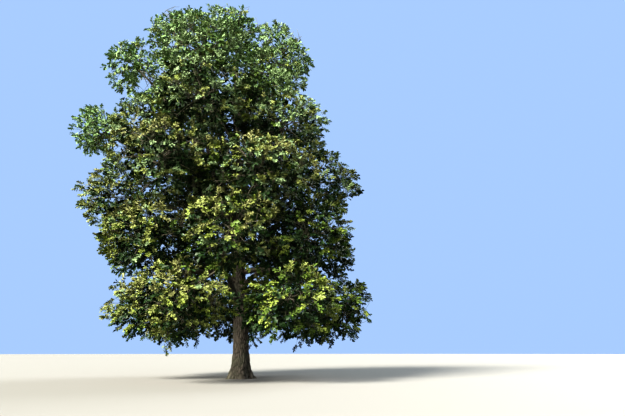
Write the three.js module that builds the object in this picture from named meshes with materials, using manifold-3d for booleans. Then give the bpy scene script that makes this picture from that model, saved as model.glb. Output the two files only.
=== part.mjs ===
// A mature broad-crowned oak: a stout trunk that divides into three stems, spreading boughs,
// and masses of foliage that hang from a high dome down to a low skirt.
// Millimetres. +Z is up, +X is to the right and +Y to the back. The origin is the middle of the
// flat cut under the trunk, at ground level.
import * as THREE from "three";
import { mergeVertices } from "three/addons/utils/BufferGeometryUtils.js";
import Module from "manifold-3d";

const wasm = await Module();
wasm.setup();

const SEAT_GAP = 0.3; // between two pieces of wood that carry one another
const SAME_PLACE = 1e-3;
const UP = new THREE.Vector3(0, 0, 1);
const GOLDEN_TURN = Math.PI * (3 - Math.sqrt(5));

// The trunk, from the ground to the fork.
const TRUNK = {
  forkHeight: 9800,
  lean: -700, // how far the fork stands to the left of the foot
  drift: 120, // and to the back
  chestRadius: 505,
  forkRadius: 410,
  footSpread: 350, // what the root flare adds to the radius at the ground
  footFade: 600, // the height over which the flare dies away
  buttresses: 5,
  buttressDepth: 0.16, // as a share of the radius, at the ground
  shape: { sides: 16, rings: 9, upright: true, crowding: 2 },
};

// The three stems above the fork. They end where they enter the masses of the crest.
const STEM_SHAPE = { sides: 8, rings: 8 };
const STEMS = {
  stem_middle: {
    leaves: 9800, tip: [-1300, 550, 23000],
    radius: 395, tipRadius: 130, arch: 0, sway: 450, collar: 0,
  },
  stem_left: {
    leaves: 8700, tip: [-4600, 1000, 22200],
    radius: 290, tipRadius: 125, arch: -1600, sway: 450, collar: 0.2,
  },
  stem_right: {
    leaves: 8200, tip: [1600, 1250, 21200],
    radius: 260, tipRadius: 120, arch: -1600, sway: 450, collar: 0.2,
  },
};

// Tiers of foliage from the ground up, each a ring of equal masses. height is that of their
// middles, raised and lowered by lift in turn. turn is where the first one stands, in degrees.
// The ring's reach to each side is counted from middle, on the line from left to right.
const TIERS = {
  skirt: {
    height: 4300, lift: 0, count: 7, turn: 250, spread: 2900, depth: 2300,
    middle: -200, reach: { left: 5500, right: 6000, front: 7000, back: 6600 },
  },
  low: {
    height: 8300, lift: 300, count: 7, turn: 276, spread: 3000, depth: 2500,
    middle: -600, reach: { left: 6400, right: 5600, front: 6600, back: 6600 },
  },
  middle: {
    height: 12200, lift: -500, count: 6, turn: 240, spread: 3700, depth: 2600,
    middle: -1400, reach: { left: 6700, right: 5800, front: 5900, back: 6000 },
  },
  upper: {
    height: 16400, lift: 400, count: 6, turn: 210, spread: 3300, depth: 2500,
    middle: -2200, reach: { left: 4200, right: 5600, front: 5200, back: 5600 },
  },
  dome: {
    height: 20500, lift: 500, count: 5, turn: 198, spread: 3000, depth: 2500,
    middle: -2800, reach: { left: 2900, right: 4500, front: 4000, back: 4600 },
  },
};

// Rings of boughs. Each low and middle bough ends between two tiers and carries a mass of both.
// The first leaves its stem at one height, and each of the rest is a step of climb higher.
const BOUGH_SHAPE = { sides: 6, rings: 4 };
const BOUGHS = {
  low: {
    carries: ["skirt", "low"], leaves: 4300, climb: 380, tipHeight: 6200, share: 0.62,
    radius: 185, tipRadius: 118, arch: 650, sway: 320, collar: 0.3,
  },
  middle: {
    carries: ["middle", "upper"], leaves: 9900, climb: 260, tipHeight: 14100, share: 0.6,
    radius: 190, tipRadius: 118, arch: 330, sway: 320, collar: 0.3,
  },
  dome: {
    carries: ["dome"], leaves: 15200, climb: 320, tipHeight: 18400, share: 0.55,
    radius: 130, tipRadius: 85, arch: 270, sway: 320, collar: 0.3,
  },
};

// Two long arms that reach out to the left with sky between them, and the crest over the stems.
const ARMS = {
  arm_high: {
    leaves: 15300, tip: [-7300, 0, 20600],
    radius: 150, tipRadius: 75, arch: 330, sway: 320, collar: 0.3,
    centre: [-8700, 0, 22100], spread: 2300, depth: 2500,
  },
  arm_left: {
    leaves: 11800, tip: [-8500, 400, 15700],
    radius: 170, tipRadius: 85, arch: 330, sway: 320, collar: 0.3,
    centre: [-10700, 600, 17000], spread: 2500, depth: 2000,
  },
};
const CREST = {
  crest_left: { stem: "stem_left", centre: [-5400, -200, 24700], spread: 2900, depth: 2700 },
  crest_middle: { stem: "stem_middle", centre: [-1300, 400, 25200], spread: 3100, depth: 2700 },
  crest_right: { stem: "stem_right", centre: [2400, 0, 23300], spread: 2600, depth: 2500 },
};

// What every mass is made of. The leaves stand for sprays, so that they are larger than life.
const MASS = {
  stemRadius: 54,
  stemTipRadius: 34,
  stemSplit: 60, // how far from the tip's middle each of two stems sits on one bough
  stemShape: { sides: 3, rings: 3 },
  core: 0.62, // the dense heart, as a share of the mass
  coreRoughness: 0.16,
  twigs: 15,
  twigRadius: 60,
  twigShape: { sides: 3, rings: 1 },
  twigRoots: 0.8, // how far along the stem the first twig may leave it
  shortTwig: 0.34, // how far out twigs end, as a share of the mass
  longTwig: 0.62, // and every fifth one
  leafTilt: 48, // degrees between a leaf and its twig
  leafDroop: 40, // degrees below the level that the leaves turn to
  leafLength: 2350,
  leafWidth: 1550,
  leafThickness: 90,
  leafSink: 120, // how far a leaf's root is sunk past the end of its twig
  leafScales: [1, 0.8, 0.62], // the largest of these that fits is used
  closest: 0.035, // how much nearer a point is to its own mass than to any other
  woodClearance: 70,
};

const SEEDS = { stems: 11, boughs: 101, arms: 200, masses: 1000 };

// The same sequence of numbers from 0 to 1 for the same seed.
function seeded(seed) {
  let state = seed;
  return () => {
    state = (state + 0x6d2b79f5) | 0;
    let mixed = Math.imul(state ^ (state >>> 15), 1 | state);
    mixed = (mixed + Math.imul(mixed ^ (mixed >>> 7), 61 | mixed)) ^ mixed;
    return ((mixed ^ (mixed >>> 14)) >>> 0) / 2 ** 32;
  };
}

function point(coordinates) {
  return new THREE.Vector3(...coordinates);
}

// A geometry with each place listed once, as a closed solid needs.
function closed(geometry) {
  const bare = geometry.clone();
  bare.deleteAttribute("normal");
  bare.deleteAttribute("uv");
  return mergeVertices(bare, SAME_PLACE);
}

function solidFrom(geometry) {
  const merged = closed(geometry);
  return new wasm.Manifold(
    new wasm.Mesh({
      numProp: 3,
      vertProperties: merged.attributes.position.array,
      triVerts: new Uint32Array(merged.index.array),
    }),
  );
}

function geometryFrom(solid) {
  const mesh = solid.getMesh();
  const geometry = new THREE.BufferGeometry();
  geometry.setAttribute("position", new THREE.BufferAttribute(mesh.vertProperties, 3));
  geometry.setIndex(new THREE.BufferAttribute(mesh.triVerts, 1));
  geometry.computeVertexNormals();
  return geometry;
}

function largestPiece(solid) {
  return solid.decompose().reduce((best, piece) => (piece.volume() > best.volume() ? piece : best));
}

function boxesMeet(a, b) {
  return [0, 1, 2].every((axis) => a.min[axis] < b.max[axis] && b.min[axis] < a.max[axis]);
}

// A level direction that stands across a curve's whole run.
function levelAcross(curve) {
  return curve.getPoint(1).sub(curve.getPoint(0)).cross(UP).normalize();
}

// A cylinder bent along a curve. radiusAt takes the share of the way along and the angle round.
// An upright piece keeps every ring level, and crowding above 1 packs the rings towards its foot.
// grow makes it stouter, and longer at both ends.
function bent(curve, radiusAt, { sides, rings, upright = false, crowding = 1, grow = 0 }) {
  const geometry = new THREE.CylinderGeometry(1, 1, 1, sides, rings);
  const level = upright ? new THREE.Vector3(1, 0, 0) : levelAcross(curve);
  const place = geometry.attributes.position;
  const vertex = new THREE.Vector3();
  for (let i = 0; i < place.count; i += 1) {
    vertex.fromBufferAttribute(place, i);
    const ring = Math.round((vertex.y + 0.5) * rings);
    const along = (ring / rings) ** crowding;
    const tangent = upright ? UP : curve.getTangent(along);
    const across = level.clone().addScaledVector(tangent, -level.dot(tangent)).normalize();
    const beside = across.clone().cross(tangent);
    const radius = radiusAt(along, Math.atan2(vertex.z, vertex.x)) + grow;
    const at = curve.getPoint(along);
    at.addScaledVector(across, vertex.x * radius);
    at.addScaledVector(beside, vertex.z * radius);
    if (ring === 0) at.addScaledVector(tangent, -grow);
    if (ring === rings) at.addScaledVector(tangent, grow);
    place.setXYZ(i, at.x, at.y, at.z);
  }
  return geometry;
}

// Places along a curve's middle line, with the radius there, to measure distances from.
function middleLine(curve, radiusAt, steps) {
  return Array.from({ length: steps + 1 }, (_, i) => ({
    at: curve.getPoint(i / steps),
    radius: radiusAt(i / steps, 0),
  }));
}

// What is left of a solid beside the wood that it meets, clear of it by the seat gap.
function clearedOf(pieces, solid) {
  const met = pieces.filter((piece) => boxesMeet(solid.boundingBox(), piece.box));
  return met.reduce((rest, piece) => rest.subtract(piece.cutter), solid);
}

const timber = []; // the trunk, the stems and the boughs, in the order that they grow

// Each piece of timber is cut to fit against those that came before it.
function addTimber(name, curve, radiusAt, shape) {
  const cutter = solidFrom(bent(curve, radiusAt, { ...shape, grow: SEAT_GAP }));
  const solid = largestPiece(clearedOf(timber, solidFrom(bent(curve, radiusAt, shape))));
  const line = middleLine(curve, radiusAt, 12);
  const piece = { name, curve, line, solid, cutter, box: cutter.boundingBox() };
  timber.push(piece);
  return piece;
}

function trunkRadius(along, angle) {
  const shaft = THREE.MathUtils.lerp(TRUNK.chestRadius, TRUNK.forkRadius, along);
  const fade = Math.exp((-along * TRUNK.forkHeight) / TRUNK.footFade);
  const ribs = 1 + TRUNK.buttressDepth * fade * Math.cos(TRUNK.buttresses * angle);
  return (shaft + TRUNK.footSpread * fade) * ribs;
}

function makeTrunk() {
  const { lean, drift, forkHeight } = TRUNK;
  const curve = new THREE.CubicBezierCurve3(
    point([0, 0, 0]),
    point([0, drift, forkHeight / 3]),
    point([lean / 2, drift, (forkHeight * 2) / 3]),
    point([lean, drift, forkHeight]),
  );
  return addTimber("trunk", curve, trunkRadius, TRUNK.shape);
}

// A limb runs from its root to its tip, arched upwards and swaying a little, as oak does.
// It tapers quickest near its root, where it also swells into a collar.
function makeLimb(name, root, tip, limb, shape, seed) {
  const { radius, tipRadius, arch, sway, collar } = limb;
  const random = seeded(seed);
  const side = tip.clone().sub(root).cross(UP).normalize();
  const [nearer, further] = [1 / 3, 2 / 3].map((along) => {
    const at = root.clone().lerp(tip, along);
    at.addScaledVector(UP, arch + sway * (random() - 0.5));
    return at.addScaledVector(side, sway * (random() * 2 - 1));
  });
  const curve = new THREE.CubicBezierCurve3(root, nearer, further, tip);
  const radiusAt = (along) =>
    THREE.MathUtils.lerp(radius, tipRadius, along ** 0.85) + radius * collar * Math.exp(-16 * along);
  return addTimber(name, curve, radiusAt, shape);
}

// About where a standing piece of timber is at a given height.
function atHeight(piece, height) {
  const [foot, top] = [piece.curve.v0.z, piece.curve.v3.z];
  return piece.curve.getPoint(THREE.MathUtils.clamp((height - foot) / (top - foot), 0, 1));
}

// Of the standing pieces that pass a height, where the one nearest to a tip is there.
function rootFor(tip, height, standing) {
  const passing = standing.filter(({ curve }) => curve.v0.z < height && curve.v3.z > height);
  const places = passing.map((piece) => atHeight(piece, height));
  return places.reduce((best, at) => (at.distanceTo(tip) < best.distanceTo(tip) ? at : best));
}

function makeStems(trunk) {
  return Object.entries(STEMS).map(([name, stem], index) =>
    makeLimb(name, atHeight(trunk, stem.leaves), point(stem.tip), stem, STEM_SHAPE, SEEDS.stems + index),
  );
}

const DIRECTIONS = ["right", "back_right", "back", "back_left", "left", "front_left", "front", "front_right"];

function directionName(turn) {
  return DIRECTIONS[Math.round((turn * DIRECTIONS.length) / 360) % DIRECTIONS.length];
}

// A place on a tier's ring, at a turn in degrees, drawn in towards the middle line by share.
function onRing(tier, turn, height, share = 1) {
  const angle = THREE.MathUtils.degToRad(turn);
  const [across, deep] = [Math.cos(angle), Math.sin(angle)];
  const width = across > 0 ? tier.reach.right : tier.reach.left;
  const length = deep > 0 ? tier.reach.back : tier.reach.front;
  const out = share / Math.hypot(across / width, deep / length);
  return point([tier.middle + out * across, out * deep, height]);
}

// The turn halfway from one to another, the short way round.
function turnBetween(a, b) {
  return (a + (((b - a + 540) % 360) - 180) / 2 + 360) % 360;
}

const masses = []; // every mass of foliage, in the order that they grow

// side is -1 or 1 for the lower or upper of two masses on one bough, and 0 for one alone.
function addMass(name, centre, { spread, depth }, bough, side) {
  masses.push({ name: `foliage_${name}`, centre, size: point([spread, spread, depth]), bough, side });
}

function growRing(ringName, ring, standing, firstSeed) {
  const tiers = ring.carries.map((name) => TIERS[name]);
  const [outer] = tiers;
  for (let k = 0; k < outer.count; k += 1) {
    const turns = tiers.map((tier) => (tier.turn + (k * 360) / tier.count) % 360);
    const turn = turnBetween(turns[0], turns[turns.length - 1]);
    const tip = onRing(outer, turn, ring.tipHeight, ring.share);
    const root = rootFor(tip, ring.leaves + ring.climb * ((k * 3) % outer.count), standing);
    const name = `bough_${ringName}_${directionName(turn)}`;
    const bough = makeLimb(name, root, tip, ring, BOUGH_SHAPE, firstSeed + k);
    tiers.forEach((tier, i) => {
      const centre = onRing(tier, turns[i], tier.height + (k % 2 ? tier.lift : -tier.lift));
      const side = 2 * i - (tiers.length - 1);
      addMass(`${ring.carries[i]}_${directionName(turns[i])}`, centre, tier, bough, side);
    });
  }
}

function growArms(stem) {
  Object.entries(ARMS).forEach(([name, arm], index) => {
    const root = atHeight(stem, arm.leaves);
    const bough = makeLimb(`bough_${name}`, root, point(arm.tip), arm, BOUGH_SHAPE, SEEDS.arms + index);
    addMass(name, point(arm.centre), arm, bough, 0);
  });
}

function growCrest(stems) {
  for (const [name, crest] of Object.entries(CREST)) {
    const stem = stems.find((piece) => piece.name === crest.stem);
    addMass(name, point(crest.centre), crest, stem, 0);
  }
}

// The stem that carries a mass: it starts just clear of its bough's tip and ends in the middle.
function massStem({ bough, side, centre }) {
  const forward = bough.curve.getTangent(1);
  const rise = UP.clone().addScaledVector(forward, -forward.dot(UP)).normalize();
  const start = bough.curve.getPoint(1).addScaledVector(forward, SEAT_GAP);
  start.addScaledVector(rise, side * MASS.stemSplit);
  const ahead = start.distanceTo(centre) * 0.3;
  return new THREE.CubicBezierCurve3(
    start,
    start.clone().addScaledVector(forward, ahead),
    start.clone().lerp(centre, 0.75),
    centre,
  );
}

function stemRadius(along) {
  return THREE.MathUtils.lerp(MASS.stemRadius, MASS.stemTipRadius, along);
}

// How far out a point lies in a mass: 0 in its middle and 1 at its edge.
function depthIn(mass, at) {
  return at.clone().sub(mass.centre).divide(mass.size).length();
}

// True if a point is clear of a piece of wood, told by its middle line.
function clearOfLine(line, at) {
  return line.slice(1).every((next, i) => {
    const nearest = new THREE.Line3(line[i].at, next.at).closestPointToPoint(at, true, new THREE.Vector3());
    return nearest.distanceTo(at) > Math.max(line[i].radius, next.radius) + MASS.woodClearance;
  });
}

// True if a point is in the space that a mass keeps to: inside its outline, nearer to its own
// middle than to any other's, and clear of all the wood but its own.
function inSpace(mass, at) {
  const own = depthIn(mass, at);
  const others = masses.filter((other) => other !== mass);
  return (
    own <= 1 &&
    others.every((other) => depthIn(other, at) > own + MASS.closest) &&
    timber.every((piece) => clearOfLine(piece.line, at)) &&
    others.every((other) => clearOfLine(other.stemLine, at))
  );
}

// Evenly spread directions, turned at random as a whole.
function spreadDirections(count, random) {
  const turn = random() * Math.PI * 2;
  return Array.from({ length: count }, (_, i) => {
    const height = 1 - (2 * i + 1) / count;
    const angle = turn + i * GOLDEN_TURN;
    const level = Math.sqrt(1 - height * height);
    return point([level * Math.cos(angle), level * Math.sin(angle), height]);
  });
}

// A leaf has its root near a point, runs along an axis and turns its face outwards.
function leafMatrix(root, axis, outward, scale) {
  const across = axis.clone().cross(outward).normalize();
  const face = across.clone().cross(axis).normalize();
  const length = MASS.leafLength * scale;
  const middle = root.clone().addScaledVector(axis, length / 2 - MASS.leafSink);
  const matrix = new THREE.Matrix4().makeBasis(
    across.multiplyScalar((MASS.leafWidth * scale) / 2),
    axis.clone().multiplyScalar(length / 2),
    face.multiplyScalar(MASS.leafThickness / 2),
  );
  return matrix.setPosition(middle);
}

// A leaf's corners and the middles of its edges, which must all be in its mass's space.
const LEAF_TESTS = [
  [1, 0, 0], [-1, 0, 0], [0, 1, 0], [0, 0, 1], [0, 0, -1],
  [0.5, 0.5, 0], [-0.5, 0.5, 0], [0.5, -0.5, 0], [-0.5, -0.5, 0], [0, 0.5, 0],
].map(point);

// The leaf at the end of a twig leans off to one side and down. It is null where none fits.
function leafOn(mass, end, outward, random) {
  const [tilt, droop] = [MASS.leafTilt, MASS.leafDroop].map((degrees) =>
    THREE.MathUtils.degToRad(degrees * (0.7 + 0.6 * random())),
  );
  const side = outward.clone().cross(UP).normalize().applyAxisAngle(outward, droop);
  const axis = outward.clone().multiplyScalar(Math.cos(tilt)).addScaledVector(side, Math.sin(tilt));
  const sizes = MASS.leafScales.map((scale) => leafMatrix(end, axis, outward, scale));
  const fits = (matrix) => LEAF_TESTS.every((corner) => inSpace(mass, corner.clone().applyMatrix4(matrix)));
  const matrix = sizes.find(fits);
  return matrix ? solidFrom(new THREE.OctahedronGeometry(1).applyMatrix4(matrix)) : null;
}

function twigSolid(from, to) {
  return solidFrom(bent(new THREE.LineCurve3(from, to), () => MASS.twigRadius, MASS.twigShape));
}

// The dense heart of a mass: a rough ball.
function coreSolid(mass, random) {
  const ball = closed(new THREE.IcosahedronGeometry(1));
  const place = ball.attributes.position;
  const vertex = new THREE.Vector3();
  for (let i = 0; i < place.count; i += 1) {
    const share = MASS.core * (1 + MASS.coreRoughness * (random() * 2 - 1));
    vertex.fromBufferAttribute(place, i).multiply(mass.size).multiplyScalar(share).add(mass.centre);
    place.setXYZ(i, vertex.x, vertex.y, vertex.z);
  }
  return solidFrom(ball);
}

function massSolid(mass, seed) {
  const random = seeded(seed);
  let growth = coreSolid(mass, random);
  spreadDirections(MASS.twigs, random).forEach((heading, k) => {
    const reach = k % 5 === 2 ? MASS.longTwig : MASS.shortTwig;
    const root = mass.stem.getPoint(MASS.twigRoots + (1 - MASS.twigRoots) * random());
    const end = mass.centre.clone().addScaledVector(heading.multiply(mass.size), reach);
    const leaf = leafOn(mass, end, end.clone().sub(root).normalize(), random);
    if (leaf) growth = growth.add(twigSolid(root, end)).add(leaf);
  });
  const others = timber.filter((piece) => piece !== mass.bough);
  const stem = clearedOf(others, solidFrom(bent(mass.stem, stemRadius, MASS.stemShape)));
  return largestPiece(clearedOf(timber, growth).add(stem));
}

const BARK = new THREE.MeshStandardMaterial({ color: 0x5b5046, roughness: 0.95, metalness: 0 });
const YOUNG_BARK = new THREE.MeshStandardMaterial({ color: 0x6c6152, roughness: 0.9, metalness: 0 });
const FOLIAGE = new THREE.MeshStandardMaterial({ color: 0x4c6a24, roughness: 0.75, metalness: 0 });

function named(name, solid, material) {
  const mesh = new THREE.Mesh(geometryFrom(solid), material);
  mesh.name = name;
  return mesh;
}

const trunk = makeTrunk();
const stems = makeStems(trunk);
const standing = [trunk, ...stems];
let firstSeed = SEEDS.boughs;
for (const [name, ring] of Object.entries(BOUGHS)) {
  growRing(name, ring, standing, firstSeed);
  firstSeed += TIERS[ring.carries[0]].count;
}
growArms(stems.find((piece) => piece.name === "stem_left"));
growCrest(stems);
for (const mass of masses) {
  mass.stem = massStem(mass);
  mass.stemLine = middleLine(mass.stem, stemRadius, 6);
}

const oak = new THREE.Group();
for (const piece of timber) {
  oak.add(named(piece.name, piece.solid, standing.includes(piece) ? BARK : YOUNG_BARK));
}
masses.forEach((mass, index) => {
  oak.add(named(mass.name, massSolid(mass, SEEDS.masses + index), FOLIAGE));
});

export default oak;
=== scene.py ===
"""The looks of a mature broad-crowned oak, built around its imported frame.

Bark with relief stands for the trunk, the stems and the boughs. Every mass of foliage is grown again
by the rule of the part's source and carried on, from its stem through branches and shoots to sprays
of lobed leaves. Metres. +Z is up, +X is to the right and +Y to the back.
"""
import math

import bpy
import numpy as np
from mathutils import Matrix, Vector, noise


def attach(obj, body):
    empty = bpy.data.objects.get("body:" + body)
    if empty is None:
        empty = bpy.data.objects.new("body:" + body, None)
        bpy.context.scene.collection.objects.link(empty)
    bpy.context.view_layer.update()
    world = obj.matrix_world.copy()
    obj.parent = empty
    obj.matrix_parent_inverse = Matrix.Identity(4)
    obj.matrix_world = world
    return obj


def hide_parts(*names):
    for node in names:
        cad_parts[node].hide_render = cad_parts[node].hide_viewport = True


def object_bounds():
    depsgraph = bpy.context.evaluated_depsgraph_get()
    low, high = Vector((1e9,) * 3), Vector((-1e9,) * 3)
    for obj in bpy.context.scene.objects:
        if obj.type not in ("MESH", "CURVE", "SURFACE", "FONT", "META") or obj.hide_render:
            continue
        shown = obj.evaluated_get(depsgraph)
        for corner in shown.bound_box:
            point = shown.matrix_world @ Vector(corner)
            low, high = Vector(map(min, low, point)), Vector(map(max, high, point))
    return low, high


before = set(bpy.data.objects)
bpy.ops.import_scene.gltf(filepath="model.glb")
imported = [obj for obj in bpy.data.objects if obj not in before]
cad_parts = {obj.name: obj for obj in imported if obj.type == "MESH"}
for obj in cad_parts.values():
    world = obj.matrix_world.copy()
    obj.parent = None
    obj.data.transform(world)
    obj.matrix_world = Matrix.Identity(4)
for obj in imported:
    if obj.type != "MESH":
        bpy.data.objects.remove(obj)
cad_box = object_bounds()

UP = np.array([0.0, 0.0, 1.0])
FULL_TURN = 2 * math.pi
GOLDEN_TURN = math.pi * (3 - math.sqrt(5))
WORD = 0xFFFFFFFF

# The camera stands where the photograph was taken, at eye height.
CAMERA = {"place": (4.53, -33.0, 1.6), "tilt": 16.06, "lens": 28.8, "film": 36}

# Soft light from all around, as it is near the floor and overhead, and the backdrop that is seen.
FILL = {"floor": (0.074, 0.08, 0.07), "overhead": (0.335, 0.455, 0.5)}
FILL_RISE = (-0.1, 0.8)
BACKDROP = (0.33, 0.465, 0.71)

# Wide lamps: strength, width in degrees, colour and the way that they shine.
SUNS = {
    "key": (18.4, 24, (1.0, 0.955, 0.85), (0.58, 0.68, -0.6)),
    "front": (1.0, 60, (0.92, 0.98, 1.0), (-0.3, 0.9, -0.35)),
    "back": (3.8, 40, (0.95, 0.97, 1.0), (-0.6, -0.62, -0.5)),
}

# The floor, in the colour that the camera sees and the one that lights the tree.
FLOOR = {"radius": 420, "sides": 96, "seen": (0.132, 0.129, 0.122), "soft": (0.12, 0.12, 0.112)}

# Bark's colours in its furrows, on its ridges and where it is grown green. The near-black furrow colour is
# partly painted shade.
BARK_COLOURS = ("Furrow", "Ridge", "Growth")
BARKS = {
    "old_bark": ((0.016, 0.013, 0.01), (0.105, 0.09, 0.073), (0.072, 0.08, 0.05)),
    "young_bark": ((0.024, 0.02, 0.015), (0.115, 0.098, 0.078), (0.08, 0.085, 0.056)),
    "twig_bark": ((0.035, 0.03, 0.02), (0.1, 0.09, 0.065), (0.07, 0.08, 0.045)),
}
EVEN_RELIEF = 0.6  # for twigs, whose meshes have no furrows

# Meshes with relief: sides, rings, how much closer rings are at the foot, and furrow width and depth.
RELIEF = {
    "trunk": {"sides": 224, "cuts": (17, 17), "crowding": 1.15, "cell": 0.1, "depth": 0.055},
    "stems": {"sides": 80, "cuts": (11, 13), "crowding": 1.0, "cell": 0.07, "depth": 0.028},
    "boughs": {"sides": 40, "cuts": (7, 8), "crowding": 1.0, "cell": 0.05, "depth": 0.014},
}
RIDGE_LENGTH = 4.6  # a ridge is this many times as long as it is wide
FURROW_EDGE, FURROW_ROUNDING = 2.3, 0.6
WANDER, WANDER_ACROSS = 0.5, 0.1  # how far ridges wander along the limb and to its side
WANDER_SCALE = 3
MEAN_RELIEF = 0.75
LUMPS = 0.05
LUMP_SCALE = (1.6, 1.6, 0.9)
TOP_SHARE = 0.9  # how wide a limb's last ring is drawn in
HIGH_RIBS = {"depth": 0.035, "fade": 2.2, "twist": 0.6}  # fainter ribs that reach further up the trunk
LEVEL = 1e-4  # heights that differ by less than this are the same

# Timber, with the same sizes as in the part's source.
TAPER = 0.85
COLLAR_FADE = 16
TRUNK = {
    "height": 9.8, "lean": -0.7, "drift": 0.12, "chest": 0.505, "fork": 0.41,
    "spread": 0.35, "fade": 0.6, "ribs": 5, "rib_depth": 0.16,
}
STEMS = {
    "middle": {
        "leaves": 9.8, "tip": (-1.3, 0.55, 23.0),
        "radius": 0.395, "tip_radius": 0.13, "arch": 0.0, "sway": 0.45, "collar": 0.0,
    },
    "left": {
        "leaves": 8.7, "tip": (-4.6, 1.0, 22.2),
        "radius": 0.29, "tip_radius": 0.125, "arch": -1.6, "sway": 0.45, "collar": 0.2,
    },
    "right": {
        "leaves": 8.2, "tip": (1.6, 1.25, 21.2),
        "radius": 0.26, "tip_radius": 0.12, "arch": -1.6, "sway": 0.45, "collar": 0.2,
    },
}

# Tiers of foliage from the ground up. reach is to the left, right, front and back of middle.
TIERS = {
    "skirt": {
        "height": 4.3, "lift": 0.0, "count": 7, "turn": 250, "spread": 2.9, "depth": 2.3,
        "middle": -0.2, "reach": (5.5, 6.0, 7.0, 6.6),
    },
    "low": {
        "height": 8.3, "lift": 0.3, "count": 7, "turn": 276, "spread": 3.0, "depth": 2.5,
        "middle": -0.6, "reach": (6.4, 5.6, 6.6, 6.6),
    },
    "middle": {
        "height": 12.2, "lift": -0.5, "count": 6, "turn": 240, "spread": 3.7, "depth": 2.6,
        "middle": -1.4, "reach": (6.7, 5.8, 5.9, 6.0),
    },
    "upper": {
        "height": 16.4, "lift": 0.4, "count": 6, "turn": 210, "spread": 3.3, "depth": 2.5,
        "middle": -2.2, "reach": (4.2, 5.6, 5.2, 5.6),
    },
    "dome": {
        "height": 20.5, "lift": 0.5, "count": 5, "turn": 198, "spread": 3.0, "depth": 2.5,
        "middle": -2.8, "reach": (2.9, 4.5, 4.0, 4.6),
    },
}
BOUGHS = {
    "low": {
        "carries": ("skirt", "low"), "leaves": 4.3, "climb": 0.38, "tip_height": 6.2, "share": 0.62,
        "radius": 0.185, "tip_radius": 0.118, "arch": 0.65, "sway": 0.32, "collar": 0.3,
    },
    "middle": {
        "carries": ("middle", "upper"), "leaves": 9.9, "climb": 0.26, "tip_height": 14.1, "share": 0.6,
        "radius": 0.19, "tip_radius": 0.118, "arch": 0.33, "sway": 0.32, "collar": 0.3,
    },
    "dome": {
        "carries": ("dome",), "leaves": 15.2, "climb": 0.32, "tip_height": 18.4, "share": 0.55,
        "radius": 0.13, "tip_radius": 0.085, "arch": 0.27, "sway": 0.32, "collar": 0.3,
    },
}
ARMS = {
    "arm_high": {
        "leaves": 15.3, "tip": (-7.3, 0.0, 20.6),
        "radius": 0.15, "tip_radius": 0.075, "arch": 0.33, "sway": 0.32, "collar": 0.3,
        "centre": (-8.7, 0.0, 22.1), "spread": 2.3, "depth": 2.5,
    },
    "arm_left": {
        "leaves": 11.8, "tip": (-8.5, 0.4, 15.7),
        "radius": 0.17, "tip_radius": 0.085, "arch": 0.33, "sway": 0.32, "collar": 0.3,
        "centre": (-10.7, 0.6, 17.0), "spread": 2.5, "depth": 2.0,
    },
}
CREST = {
    "crest_left": {"stem": "left", "centre": (-5.4, -0.2, 24.7), "spread": 2.9, "depth": 2.7},
    "crest_middle": {"stem": "middle", "centre": (-1.3, 0.4, 25.2), "spread": 3.1, "depth": 2.7},
    "crest_right": {"stem": "right", "centre": (2.4, 0.0, 23.3), "spread": 2.6, "depth": 2.5},
}
CLIMB_STEP = 3
SEEDS = {"stems": 11, "boughs": 101, "arms": 200, "masses": 1000, "leaves": 5000, "bark": 40}
BARK_SEED_STEP = 7.3
SEAT_GAP = 0.0003
DIRECTIONS = (
    "right", "back_right", "back", "back_left", "left", "front_left", "front", "front_right",
)

# What the source draws for each mass, in its order, before and between its twigs.
CORE_CORNERS = 12
TWIGS = 15
TWIG_ROOTS = 0.8
SHORT_TWIG, LONG_TWIG = 0.34, 0.62
LONG_EVERY, LONG_FIRST = 5, 2
TWIG_BEND_AT, TWIG_BEND, END_BEND, END_RISE = 0.6, 0.3, 0.4, 0.25
STEM_SPLIT = 0.06
STEM_AHEAD, STEM_TURN = 0.3, 0.75

# How the growth goes on from the source's twigs. Shares are of the mass.
BRANCH_REACH = 0.74
PUFFS = {
    "outer": {"count": 36, "reach": (0.68, 0.88), "sprays": 11, "leaves": 18, "leaf": 0.199},
    "inner": {"count": 24, "reach": (0.25, 0.84), "sprays": 6, "leaves": 6, "leaf": 0.37},
    "heart": {"count": 10, "reach": (0.2, 0.85), "sprays": 8, "leaves": 6, "leaf": 0.37},
}
PUFF_RADIUS = (0.7, 1.12)  # in a mass of the usual spread
USUAL_SPREAD = 3
PUFF_SCATTER = 0.09
FEWEST_SPRAYS = 4
CUSHION_TOP, CUSHION_DROP = 0.42, 0.6  # how high a puff stands in its middle, and how far its rim hangs
CUSHION_SCATTER = 0.12
HUB_INWARD, HUB_DOWN = 0.3, 0.18  # where a puff's shoot ends, below its middle
SHOOT_ARCH = (0.1, 0.12)
SHOOT_ROOTS = (0.35, 1)  # the part of a branch that shoots grow from
TIP_DEPTH = {
    "skirt": 0.95, "low": 0.95, "middle": 0.93, "upper": 0.93, "dome": 0.92, "arm": 0.95, "crest": 0.92,
}
PUFF_OVERLAP, TIP_OVERLAP = 0.03, 0.08  # how far growth may pass the middle between two masses
TIMBER_ROOM = 0.35  # puffs keep this far from the limbs
HEART_DEPTH = 2.4  # how far out of its mass the foliage near the trunk may stand
HEART_SPREAD = 0.9
FILL_DEPTH = 1.2  # where a tip stands nearer the middle line of the crown than its mass does
CREST_ROOM = (1.0, 1.25, 1.0)  # the crest's foliage stands deeper, front to back
LEAF_REACH = 0.43  # how far leaves may stand out from a spray's tip
BOX_ROOM = 0.027  # how far past the solids the visual model may reach, as a share of its size

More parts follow.
